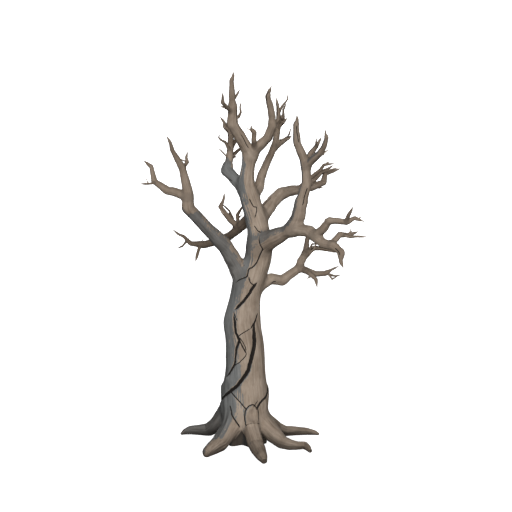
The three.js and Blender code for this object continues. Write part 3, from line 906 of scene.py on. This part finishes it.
def remeshed(solids, step):
    """Closed solids, run together into one skin of even square faces."""
    points, faces = joined(solids)
    rough = bpy.data.meshes.new("rough")
    rough.from_pydata(points.tolist(), [], faces)
    obj = bpy.data.objects.new("rough", rough)
    bpy.context.scene.collection.objects.link(obj)
    modifier = obj.modifiers.new("even skin", "REMESH")
    modifier.mode = "VOXEL"
    modifier.voxel_size = step
    even = obj.evaluated_get(bpy.context.evaluated_depsgraph_get()).to_mesh()
    places = np.empty(len(even.vertices) * 3)
    even.vertices.foreach_get("co", places)
    corners = np.empty(len(even.loops), np.int64)
    even.loops.foreach_get("vertex_index", corners)
    obj.to_mesh_clear()
    bpy.data.objects.remove(obj)
    bpy.data.meshes.remove(rough)
    return largest_part(places.reshape(-1, 3), corners.reshape(-1, 4))


def largest_part(places, faces):
    """A skin without the bits that are not joined to the rest of it."""
    part = groups(len(faces), edge_neighbours(faces))
    faces = faces[part == np.bincount(part).argmax()]
    used, corners = np.unique(faces, return_inverse=True)
    return places[used], corners.reshape(-1, 4)


def spread_out(places, faces, chosen):
    """Places, with the chosen ones moved to the middle of their neighbours, so that none meet."""
    total = np.zeros_like(places)
    for k, axis, turn in itertools.product(range(4), range(3), (1, 3)):
        beside = places[faces[:, (k + turn) % 4], axis]
        total[:, axis] += np.bincount(faces[:, k], beside, len(places))
    uses = 2 * np.bincount(faces.ravel(), minlength=len(places))
    return np.where(chosen[:, None], total / uses[:, None], places)


def vertex_normals(places, faces):
    """The way out at each point of a mesh of square faces."""
    a, b, c, d = (places[faces[:, k]] for k in range(4))
    across = np.cross(c - a, d - b)
    total = np.zeros_like(places)
    for k, axis in itertools.product(range(4), range(3)):
        total[:, axis] += np.bincount(faces[:, k], across[:, axis], len(places))
    return unit(total)


# ---- The skin cut into pieces -----------------------------------------------------------------

def edges_of(faces):
    """The four edges of each square face, as pairs of points."""
    return np.stack([faces, np.roll(faces, -1, axis=1)], axis=-1).reshape(-1, 2)


def edge_neighbours(faces):
    """Pairs of square faces that share an edge."""
    edges = edges_of(faces)
    edges.sort(axis=1)
    order = np.lexsort(edges.T)
    edges = edges[order]
    same = (edges[1:] == edges[:-1]).all(1)
    return np.column_stack([order[:-1][same], order[1:][same]]) // 4


def groups(count, pairs):
    """The number of the group that each of count things is in, where the pairs are joined."""
    group = np.arange(count)
    while True:
        low = np.minimum(group[pairs[:, 0]], group[pairs[:, 1]])
        after = group.copy()
        for side in (0, 1):
            np.minimum.at(after, group[pairs[:, side]], low)
        while (after[after] != after).any():
            after = after[after]
        if (after == group).all():
            return group
        group = after


def evened(labels, pairs, kinds):
    """Each face's label, or its neighbours' where most of them have another."""
    votes = np.zeros((len(labels), kinds), np.float32)
    votes[np.arange(len(labels)), labels] = OWN_VOTES
    for side in (0, 1):
        np.add.at(votes, (pairs[:, side], labels[pairs[:, 1 - side]]), 1)
    return votes.argmax(1)


def without_islands(labels, pairs):
    """Labels with each scrap of faces cut off from its like given to a neighbour."""
    alike = labels[pairs[:, 0]] == labels[pairs[:, 1]]
    group = groups(len(labels), pairs[alike])
    size = np.bincount(group, minlength=len(labels))
    largest = np.zeros(labels.max() + 1)
    np.maximum.at(largest, labels, size[group])
    scrap = size[group] < largest[labels]
    labels = labels.copy()
    for _ in range(MOST_PASSES):
        for side in (0, 1):
            edge = pairs[scrap[pairs[:, side]] & ~scrap[pairs[:, 1 - side]]]
            labels[edge[:, side]] = labels[edge[:, 1 - side]]
            scrap[edge[:, side]] = False
        if not scrap.any():
            return labels
    raise RuntimeError("some scraps of skin are joined to no piece")


def without_pinches(labels, faces, pairs, count):
    """Labels with no point where two parts of one piece touch only at that point."""
    labels = labels.copy()
    for _ in range(MOST_PASSES):
        border = pairs[labels[pairs[:, 0]] != labels[pairs[:, 1]]]
        kinds = labels.max() + 1
        bad = set()
        for side in (0, 1):
            mine, theirs = faces[border[:, side]], faces[border[:, 1 - side]]
            row, corner = np.nonzero((mine[:, :, None] == theirs[:, None, :]).any(2))
            key = mine[row, corner] * kinds + labels[border[row, side]]
            keys, uses = np.unique(key, return_counts=True)
            bad |= set((keys[uses > 2] // kinds).tolist())
        if not bad:
            return labels
        pinched = np.isin(faces, np.array(sorted(bad)))
        touching = pinched.any(1)
        lowest = np.full(count, kinds)
        for corner in range(4):
            np.minimum.at(lowest, faces[touching, corner], labels[touching])
        pick = np.where(pinched[touching], lowest[faces[touching]], kinds).min(1)
        labels[touching] = np.minimum(pick, labels[touching])
    raise RuntimeError("some pieces still touch themselves at a point")


def cut_up(limbs, skin):
    """The name of the piece each face of the skin goes with."""
    faces, places = skin["faces"], skin["places"]
    names = [*TRUNK_CUTS, *filter(is_root, limbs), *LEADERS]
    kinds = np.array([names.index(family(n)) if n != "trunk" else 0 for n in limbs])
    labels = kinds[skin["owner"][faces[:, 0]]]
    trunk = labels == 0
    height = places[faces, 2].mean(1)
    for number, low in enumerate(TRUNK_CUTS.values()):
        labels[trunk & (height >= low)] = number
    pairs = edge_neighbours(faces)
    for _ in range(EVENINGS):
        labels = evened(labels, pairs, len(names))
    labels = without_islands(labels, pairs)
    labels = without_pinches(labels, faces, pairs, len(places))
    return np.array(names)[labels]


def closed_patch(faces, places):
    """A patch of skin closed at each of its rims: its points, their places in the skin, its faces."""
    used, corners = np.unique(faces, return_inverse=True)
    faces = corners.reshape(-1, 4)
    points = places[used]
    edges = edges_of(faces)
    key = np.sort(edges, axis=1) @ np.array([len(used), 1])
    _, first, uses = np.unique(key, return_index=True, return_counts=True)
    rim = edges[first[uses == 1]]
    loops = groups(len(used), rim)
    middles = []
    fans = []
    for loop in np.unique(loops[rim[:, 0]]):
        ring = rim[loops[rim[:, 0]] == loop]
        middle = points[ring[:, 0]].mean(0)
        way = unit(np.cross(points[ring[:, 1]] - middle, points[ring[:, 0]] - middle).sum(0))
        fans += [(b, a, len(used) + len(middles)) for a, b in ring.tolist()]
        middles.append(middle - CAP_DISH * way)
    points = np.concatenate([points, np.array(middles).reshape(-1, 3)])
    return points, used, faces.tolist() + fans


def set_attribute(mesh, name, kind, values):
    """Puts a value on each of a mesh's points, for its material to read."""
    attribute = mesh.attributes.new(name, kind, "POINT")
    attribute.data.foreach_set("vector" if kind == "FLOAT_VECTOR" else "value", values.ravel())


def make_piece(name, points, faces, material, nodes):
    """A mesh object that stands for the CAD nodes and rides with the tree."""
    mesh = bpy.data.meshes.new(name)
    mesh.from_pydata(points.tolist(), [], faces)
    mesh.shade_smooth()
    mesh.materials.append(material)
    piece = bpy.data.objects.new(name, mesh)
    bpy.context.scene.collection.objects.link(piece)
    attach(piece, "root")
    if nodes:
        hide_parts(*nodes)
    return piece


def skin_piece(name, nodes):
    """The piece of the skin that has this name."""
    limbs, skin = grown["limbs"], grown["skin"]
    chosen = grown["pieces"] == name
    if not chosen.any():
        raise RuntimeError(f"no skin was found for {name}")
    points, used, faces = closed_patch(skin["faces"][chosen], skin["places"])
    piece = make_piece(f"{name}_wood", points, faces, grown["wood"], nodes)
    extra = len(points) - len(used)
    for key in ("sure", "crack", "silver", "hollow", "slender"):
        set_attribute(piece.data, key, "FLOAT", np.concatenate([skin[key][used], np.zeros(extra)]))
    grain = np.concatenate([skin["grain"][used], np.zeros((extra, 3))])
    set_attribute(piece.data, "grain", "FLOAT_VECTOR", grain)
    out = np.concatenate([skin["normals"][used], np.tile((0.0, 0.0, 1.0), (extra, 1))])
    piece.data.normals_split_custom_set_from_vertices(out.tolist())
    return piece


# ---- Spurs: the short broken twigs ------------------------------------------------------------

def spur(start, way, radius, length, rng, forks):
    """A crooked twig as (points, radii), and those that fork from it."""
    last = int(rng.integers(*SPUR_LEGS))
    points = [start - way * radius * SPUR_DEPTH]
    radii = [radius * SPUR_FLARE]
    for leg in range(last + 1):
        stray = rng.normal(0, SPUR_BEND * length, 3) * (leg > 0)
        points.append(start + way * length * leg / last + stray)
        radii.append(radius * (1 - SPUR_TAPER * leg / last))
    yield np.array(points), np.array(radii)
    if forks:
        at = int(rng.integers(2, last + 1))
        side = unit(way + rng.normal(0, FORK_STRAY, 3))
        length = length * rng.uniform(*FORK_LENGTHS)
        yield from spur(points[at], side, radii[at] * FORK_RADIUS, length, rng, forks - 1)


def grow_spurs(limbs, sizes):
    """The twigs on every bough, by a seeded rule: each leans a little forward and upward."""
    rng = np.random.default_rng(sizes.seed)
    upward = np.array([0, 0, SPUR_UPWARD])
    for limb in boughs_of(limbs):
        at = limb.entry + limb.foot + rng.uniform(*SPUR_FIRST) * sizes.gap
        while at < limb.length and limb.girth(at, 0) > SPUR_LEAST_GIRTH:
            bearing = np.array([rng.uniform(-math.pi, math.pi)])
            place = limb.spot(np.array([at]), bearing)[0]
            i = np.searchsorted(limb.marks, at) - 1
            out = unit(place - limb.points[i])
            way = unit(out + SPUR_FORWARD * limb.runs[i] + upward + rng.normal(0, SPUR_STRAY, 3))
            girth = limb.girth(at, 0)
            radius = min(sizes.radius * rng.uniform(*SPUR_RADII), SPUR_SHARE * girth)
            length = sizes.length * rng.uniform(*SPUR_LENGTHS)
            forks = int(rng.random() < SPUR_FORKED)
            if girth < SPUR_MOST_GIRTH:
                yield from spur(place, way, radius, length, rng, forks)
            at += sizes.gap * rng.uniform(*SPUR_GAPS)


def spur_tube(line, radii):
    """A closed tapering tube along a twig: points and faces."""
    runs = unit(np.gradient(line, axis=0))
    across = unit(np.cross(runs, SPUR_ASIDE))
    return round_tube(line, runs, across, radii, SPUR_SIDES)


# ---- Materials --------------------------------------------------------------------------------

def from_hex(code):
    """An sRGB hex colour as linear red, green and blue."""
    parts = (int(code[i:i + 2], 16) / 255 for i in (1, 3, 5))
    return tuple(c / 12.92 if c <= 0.04045 else ((c + 0.055) / 1.055) ** 2.4 for c in parts)


def put(tree, kind, inputs, **settings):
    """Adds a node, with its settings and with each of its inputs set or linked, and returns it."""
    node = tree.nodes.new(kind)
    for name, value in settings.items():
        setattr(node, name, value)
    for name, value in inputs.items():
        if isinstance(value, bpy.types.NodeSocket):
            tree.links.new(value, node.inputs[name])
        else:
            node.inputs[name].default_value = value
    return node


def bare_material(name):
    """An empty material and its shader."""
    material = bpy.data.materials.new(name)
    material.use_nodes = True
    tree = material.node_tree
    tree.nodes.clear()
    shader = put(tree, "ShaderNodeBsdfPrincipled", {"Metallic": 0.0, "IOR": 1.5})
    put(tree, "ShaderNodeOutputMaterial", {"Surface": shader.outputs["BSDF"]})
    return material, tree, shader


MIX_A, MIX_B, MIX_OUT = 6, 7, 2  # a colour mix node's sockets


def weathered_hardwood(look):
    """Weathered hardwood: barkless wood dried on the tree, dull, with long fibres raised by rain.

    The grain gives faint streaks of light and dark along each limb. The sheltered side stays tan,
    the weather side goes silver-grey where rain has washed the colour out, and cracks are painted
    near black for the shade deep in them. Crotches, undersides, the foot, the wood near the ground
    and the hollows between roots get painted shade, and thin limbs and some named boughs a darker
    brown that is partly inner bark and partly painted shade.
    Real fibres are far too fine to show on a whole tree, so they are drawn as bundles.
    """
    material, tree, shader = bare_material("weathered hardwood")

    def mark(name, output="Fac"):
        return put(tree, "ShaderNodeAttribute", {}, attribute_name=name).outputs[output]

    def pattern(place, width, length, detail):
        stretch = (1 / width, 1 / width, 1 / length)
        patch = put(tree, "ShaderNodeVectorMath", {0: place, 1: stretch}, operation="MULTIPLY")
        inputs = {"Vector": patch.outputs[0], "Scale": 1.0, "Detail": detail, "Roughness": 0.6}
        return put(tree, "ShaderNodeTexNoise", inputs).outputs[0]

    def ramp(value, low, high, start, end):
        inputs = {"Value": value, "From Min": low, "From Max": high, "To Min": start, "To Max": end}
        return put(tree, "ShaderNodeMapRange", inputs, interpolation_type="SMOOTHSTEP").outputs[0]

    def sum_of(a, b, operation="ADD"):
        return put(tree, "ShaderNodeMath", {0: a, 1: b}, operation=operation).outputs[0]

    def blend(share, a, b, kind="MIX"):
        inputs = {0: share, MIX_A: a, MIX_B: b}
        return put(tree, "ShaderNodeMix", inputs, data_type="RGBA", blend_type=kind).outputs[MIX_OUT]

    grain = mark("grain", "Vector")
    sure = mark("sure")
    place = put(tree, "ShaderNodeTexCoord", {}).outputs["Object"]
    streaks = pattern(grain, look.streak_width, look.streak_length, 3.0)
    fibres = pattern(grain, look.fibre_width, look.fibre_width * FIBRE_SLIM, 2.0)
    blotches = pattern(place, look.blotch_size, look.blotch_size * 1.6, 3.0)
    specks = pattern(place, look.blotch_size / 5, look.blotch_size / 4, 2.0)

    # Noise seldom leaves 0.2 to 0.8, so the ramps take what they give from there or narrower.
    streak = sum_of(ramp(streaks, 0.3, 0.7, 0.0, 0.6), sure, "MULTIPLY")
    streak = sum_of(streak, ramp(blotches, 0.35, 0.7, 0.0, 0.55))
    wood = blend(streak, (*look.tan, 1), (*look.umber, 1))
    grey = blend(streak, (*look.silver, 1), (*look.slate, 1))
    washed = sum_of(mark("silver"), ramp(blotches, 0.2, 0.8, -0.08, 0.08))
    washed = sum_of(washed, ramp(specks, 0.2, 0.8, -0.12, 0.12))
    turned = ramp(washed, SILVER_EDGE - SILVER_SOFT, SILVER_EDGE + SILVER_SOFT, 0.0, 1.0)
    colour = blend(turned, wood, grey)
    # Inner bark and painted shade darken thin limbs and the named stout limbs.
    thin = sum_of(mark("slender"), look.bark_and_shade_left, "MULTIPLY")
    colour = blend(thin, colour, (*look.bark_and_shade, 1))
    # Painted shade in crotches, underneath, at the foot, near the ground and between roots.
    dark = sum_of(mark("hollow"), look.painted_shade_dark, "MULTIPLY")
    colour = blend(dark, colour, (*look.crack, 1))
    # Painted shade deep in the cracks.
    colour = blend(ramp(mark("crack"), *CRACK_EDGE, 0.0, 1.0), colour, (*look.crack, 1))
    tree.links.new(colour, shader.inputs["Base Color"])

    raised = sum_of(sum_of(fibres, sure, "MULTIPLY"), streaks)
    inputs = {"Strength": 0.5, "Distance": FIBRE_RISE, "Height": raised}
    bump = put(tree, "ShaderNodeBump", inputs)
    tree.links.new(bump.outputs[0], shader.inputs["Normal"])
    shader.inputs["Roughness"].default_value = 0.88
    shader.inputs["Specular IOR Level"].default_value = 0.25
    return material


def dead_twig_wood(look):
    """Dead twig wood: thin barkless twigs, as dull as the boughs, mottled tan and umber."""
    material, tree, shader = bare_material("dead twig wood")
    place = put(tree, "ShaderNodeTexCoord", {}).outputs["Object"]
    inputs = {"Vector": place, "Scale": 1 / look.streak_width, "Detail": 2.0}
    mottle = put(tree, "ShaderNodeTexNoise", inputs).outputs[0]
    inputs = {0: mottle, MIX_A: (*look.tan, 1), MIX_B: (*look.umber, 1)}
    mixed = put(tree, "ShaderNodeMix", inputs, data_type="RGBA").outputs[MIX_OUT]
    tree.links.new(mixed, shader.inputs["Base Color"])
    shader.inputs["Roughness"].default_value = 0.9
    shader.inputs["Specular IOR Level"].default_value = 0.25
    return material


def lit_board(name, colour, glow):
    """A pale board, partly lit from within, so that no shade darkens it."""
    material, tree, shader = bare_material(name)
    shader.inputs["Base Color"].default_value = (*colour, 1)
    shader.inputs["Emission Color"].default_value = (*colour, 1)
    shader.inputs["Emission Strength"].default_value = glow
    shader.inputs["Roughness"].default_value = 1.0
    shader.inputs["Specular IOR Level"].default_value = 0.0
    return material


# ---- What a user would change -----------------------------------------------------------------

def number(name, description, default, **kind):
    return FloatProperty(name=name, description=description, default=default, min=0, **kind)


def length(name, description, default):
    return number(name, description, default, unit="LENGTH")


def share(name, description, default):
    return number(name, description, default, subtype="FACTOR")


def colour(name, description, code):
    return FloatVectorProperty(name=name, description=description, default=from_hex(code),
                               size=3, min=0, max=1, subtype="COLOR")


class SkinSizes(bpy.types.PropertyGroup):
    """Sizes of the wood's skin."""

    step: length("Mesh step", "Width of the skin's square faces", 10.9 * MM)
    collar: share("Collars", "How widely a bough flares into its bearer, in its foot's radius", 0.75)
    flutes: share("Flutes", "Depth of the long flutes, in the limb's radius", 0.035)
    lumps: share("Lumps", "Height of the slow swellings, in the limb's radius", 0.05)
    grain: length("Grain", "Depth of the ridges along the grain", 4.5 * MM)
    seed: IntProperty(name="Seed", description="Another number gives other fine cracks", default=3)


class SpurSizes(bpy.types.PropertyGroup):
    """Sizes of the short dead twigs."""

    gap: length("Gap", "Distance along a bough from one twig to the next, about", 0.85)
    length: length("Length", "Length of a twig, about", 0.12)
    radius: length("Radius", "Radius of a twig at its foot", 17 * MM)
    seed: IntProperty(name="Seed", description="Another number gives other twigs", default=11)


class WoodLook(bpy.types.PropertyGroup):
    """Colours and pattern sizes of the wood."""

    tan: colour("Tan", "The sunny side's lightest wood", "#A29384")
    umber: colour("Umber", "The sunny side's darker streaks", "#847566")
    silver: colour("Silver", "The weather side's lightest wood", "#777877")
    slate: colour("Slate", "The weather side's darker streaks", "#616261")
    # Painted shade: the near black deep in a crack, which the other painted shade also darkens toward.
    crack: colour("Crack", "The depth of a drying crack", "#1E1A16")
    streak_width: length("Streak width", "Width of a streak of the grain", 34 * MM)
    streak_length: length("Streak length", "Length of a streak of the grain", 0.7)
    fibre_width: length("Fibre width", "Width of a raised bundle of fibres", 9 * MM)
    blotch_size: length("Blotch size", "Size of a patch of more or less weathered wood", 0.22)
    # Painted shade: how far the shade painted in crotches, underneath, at the foot, near the ground and
    # between roots darkens the wood.
    painted_shade_dark: share("Hollows", "How dark the wood is deep in hollows and near the ground", 0.9)
    # Inner bark and painted shade: the darker brown of thin limbs and of the named stout limbs.
    bark_and_shade: colour("Inner bark", "What is left of the inner bark on thin limbs", "#65574A")
    bark_and_shade_left: share("Bark left", "How much inner bark the thinnest limbs keep", 0.55)


class StageLights(bpy.types.PropertyGroup):
    """Strengths of the studio lights."""

    key: number("Key", "Strength of the main light", 3.3)
    back: number("Back", "Strength of the light from behind", 3.3)
    room: number("Room", "Strength of the light from all round", 0.13)


# ---- Operators --------------------------------------------------------------------------------

grown = {}  # what the skin operator grows, for the others to cut pieces from


class TREE_OT_skin(bpy.types.Operator):
    """Grow the whole tree's skin over the frame's limbs"""

    bl_idname = "dead_tree.skin"
    bl_label = "Grow Skin"

    def execute(self, context):
        scene = context.scene
        grown["limbs"], grown["skin"] = grow_skin(scene.dead_tree_skin)
        grown["pieces"] = cut_up(grown["limbs"], grown["skin"])
        grown["wood"] = weathered_hardwood(scene.dead_tree_look)
        return {"FINISHED"}


class TREE_OT_trunk(bpy.types.Operator):
    """Make the trunk: its butt, its bole and its stem"""

    bl_idname = "dead_tree.trunk"
    bl_label = "Trunk"

    def execute(self, context):
        for name in TRUNK_CUTS:
            skin_piece(name, ["trunk"])
        return {"FINISHED"}


class TREE_OT_roots(bpy.types.Operator):
    """Make each of the surface roots"""

    bl_idname = "dead_tree.roots"
    bl_label = "Roots"

    def execute(self, context):
        for name in filter(is_root, grown["limbs"]):
            skin_piece(name, [name])
        return {"FINISHED"}


class TREE_OT_boughs(bpy.types.Operator):
    """Make each main bough with its side limbs"""

    bl_idname = "dead_tree.boughs"
    bl_label = "Boughs"

    def execute(self, context):
        for leader in LEADERS:
            skin_piece(leader, [n for n in grown["limbs"] if family(n) == leader])
        return {"FINISHED"}


class TREE_OT_spurs(bpy.types.Operator):
    """Make the short dead twigs, joined"""

    bl_idname = "dead_tree.spurs"
    bl_label = "Twigs"

    def execute(self, context):
        scene = context.scene
        low, high = (np.array(corner) for corner in CAD_BOX)
        spurs = [s for s in grow_spurs(grown["limbs"], scene.dead_tree_spurs)
                 if (s[0] > low - SPUR_OUT).all() and (s[0] < high + SPUR_OUT).all()]
        points, faces = joined(spur_tube(*twig) for twig in spurs)
        make_piece("twigs", points, faces, dead_twig_wood(scene.dead_tree_look), [])
        return {"FINISHED"}


def aim(obj, target):
    """Turns a camera or a light to look at a place."""
    obj.rotation_euler = (Vector(target) - obj.location).to_track_quat("-Z", "Y").to_euler()


class TREE_OT_stage(bpy.types.Operator):
    """Set the studio: camera, lights, floor and backdrop"""

    bl_idname = "dead_tree.stage"
    bl_label = "Stage"

    def execute(self, context):
        scene = context.scene
        lights = scene.dead_tree_lights
        camera = bpy.data.objects.new("camera", bpy.data.cameras.new("camera"))
        camera.data.sensor_width = SENSOR
        camera.data.lens = 0.5 * SENSOR / math.tan(0.5 * math.radians(VIEW_ANGLE))
        camera.location = (CAMERA_X, -VIEW_REACH * math.cos(VIEW_DIP),
                           AIM_HEIGHT + VIEW_REACH * math.sin(VIEW_DIP))
        aim(camera, (CAMERA_X, 0, AIM_HEIGHT))
        scene.camera = camera
        made = [camera]

        for name, (way, spread) in STUDIO_LIGHTS.items():
            data = bpy.data.lights.new(name, "SUN")
            data.energy = getattr(lights, name)
            data.angle = math.radians(spread)
            light = bpy.data.objects.new(name, data)
            light.location = way
            aim(light, (0, 0, 0))
            made.append(light)
        for obj in made:
            scene.collection.objects.link(obj)

        # The camera sees a pale floor and backdrop, which throw no light on the tree. What the tree
        # has under it instead is a black card, as dark as soil, which the camera doesn't see.
        bpy.ops.mesh.primitive_plane_add(size=FLOOR_WIDTH, location=(0, 0, -FLOOR_DROP))
        floor = context.object
        floor.name = "floor"
        bpy.ops.mesh.primitive_plane_add(size=FLOOR_WIDTH, location=(0, 0, -2 * FLOOR_DROP))
        card = context.object
        card.name = "card"
        card.data.materials.append(lit_board("black card", (0.02, 0.02, 0.02), 0.0))
        card.visible_camera = False
        card.visible_shadow = False
        bpy.ops.mesh.primitive_uv_sphere_add(segments=64, ring_count=32, radius=FLOOR_WIDTH)
        backdrop = context.object
        backdrop.name = "backdrop"
        for board in (floor, backdrop):
            board.data.materials.append(lit_board(board.name, (1.0, 1.0, 1.0), 1.0))
            board.visible_diffuse = False
            board.visible_glossy = False
            board.visible_shadow = False

        world = bpy.data.worlds.new("room")
        world.use_nodes = True
        background = world.node_tree.nodes["Background"].inputs
        background["Color"].default_value = (1.0, 1.0, 1.0, 1)
        background["Strength"].default_value = lights.room
        scene.world = world
        scene.view_settings.view_transform = "Standard"
        return {"FINISHED"}


class TREE_PT_panel(bpy.types.Panel):
    """The dead tree's makers and sizes"""

    bl_idname = "TREE_PT_panel"
    bl_label = "Dead Tree"
    bl_space_type = "VIEW_3D"
    bl_region_type = "UI"
    bl_category = "Dead Tree"

    def draw(self, context):
        for maker in MAKERS:
            self.layout.operator(maker.bl_idname)
        for name, group in SETTINGS.items():
            box = self.layout.box()
            box.label(text=group.__doc__)
            for field in group.__annotations__:
                box.prop(getattr(context.scene, name), field)


MAKERS = (TREE_OT_skin, TREE_OT_trunk, TREE_OT_roots, TREE_OT_boughs, TREE_OT_spurs, TREE_OT_stage)
SETTINGS = {"dead_tree_skin": SkinSizes, "dead_tree_spurs": SpurSizes,
            "dead_tree_look": WoodLook, "dead_tree_lights": StageLights}
CLASSES = (*SETTINGS.values(), *MAKERS, TREE_PT_panel)


def register():
    """Adds the classes and each group of settings to Blender."""
    for cls in CLASSES:
        bpy.utils.register_class(cls)
    for name, group in SETTINGS.items():
        setattr(bpy.types.Scene, name, PointerProperty(type=group))


def unregister():
    """Takes them away again."""
    for name in SETTINGS:
        delattr(bpy.types.Scene, name)
    for cls in reversed(CLASSES):
        bpy.utils.unregister_class(cls)


def main():
    """Builds the tree and the stage."""
    register()
    bpy.ops.dead_tree.skin()
    bpy.ops.dead_tree.trunk()
    bpy.ops.dead_tree.roots()
    bpy.ops.dead_tree.boughs()
    bpy.ops.dead_tree.spurs()
    bpy.ops.dead_tree.stage()


if __name__ == "__main__":
    main()
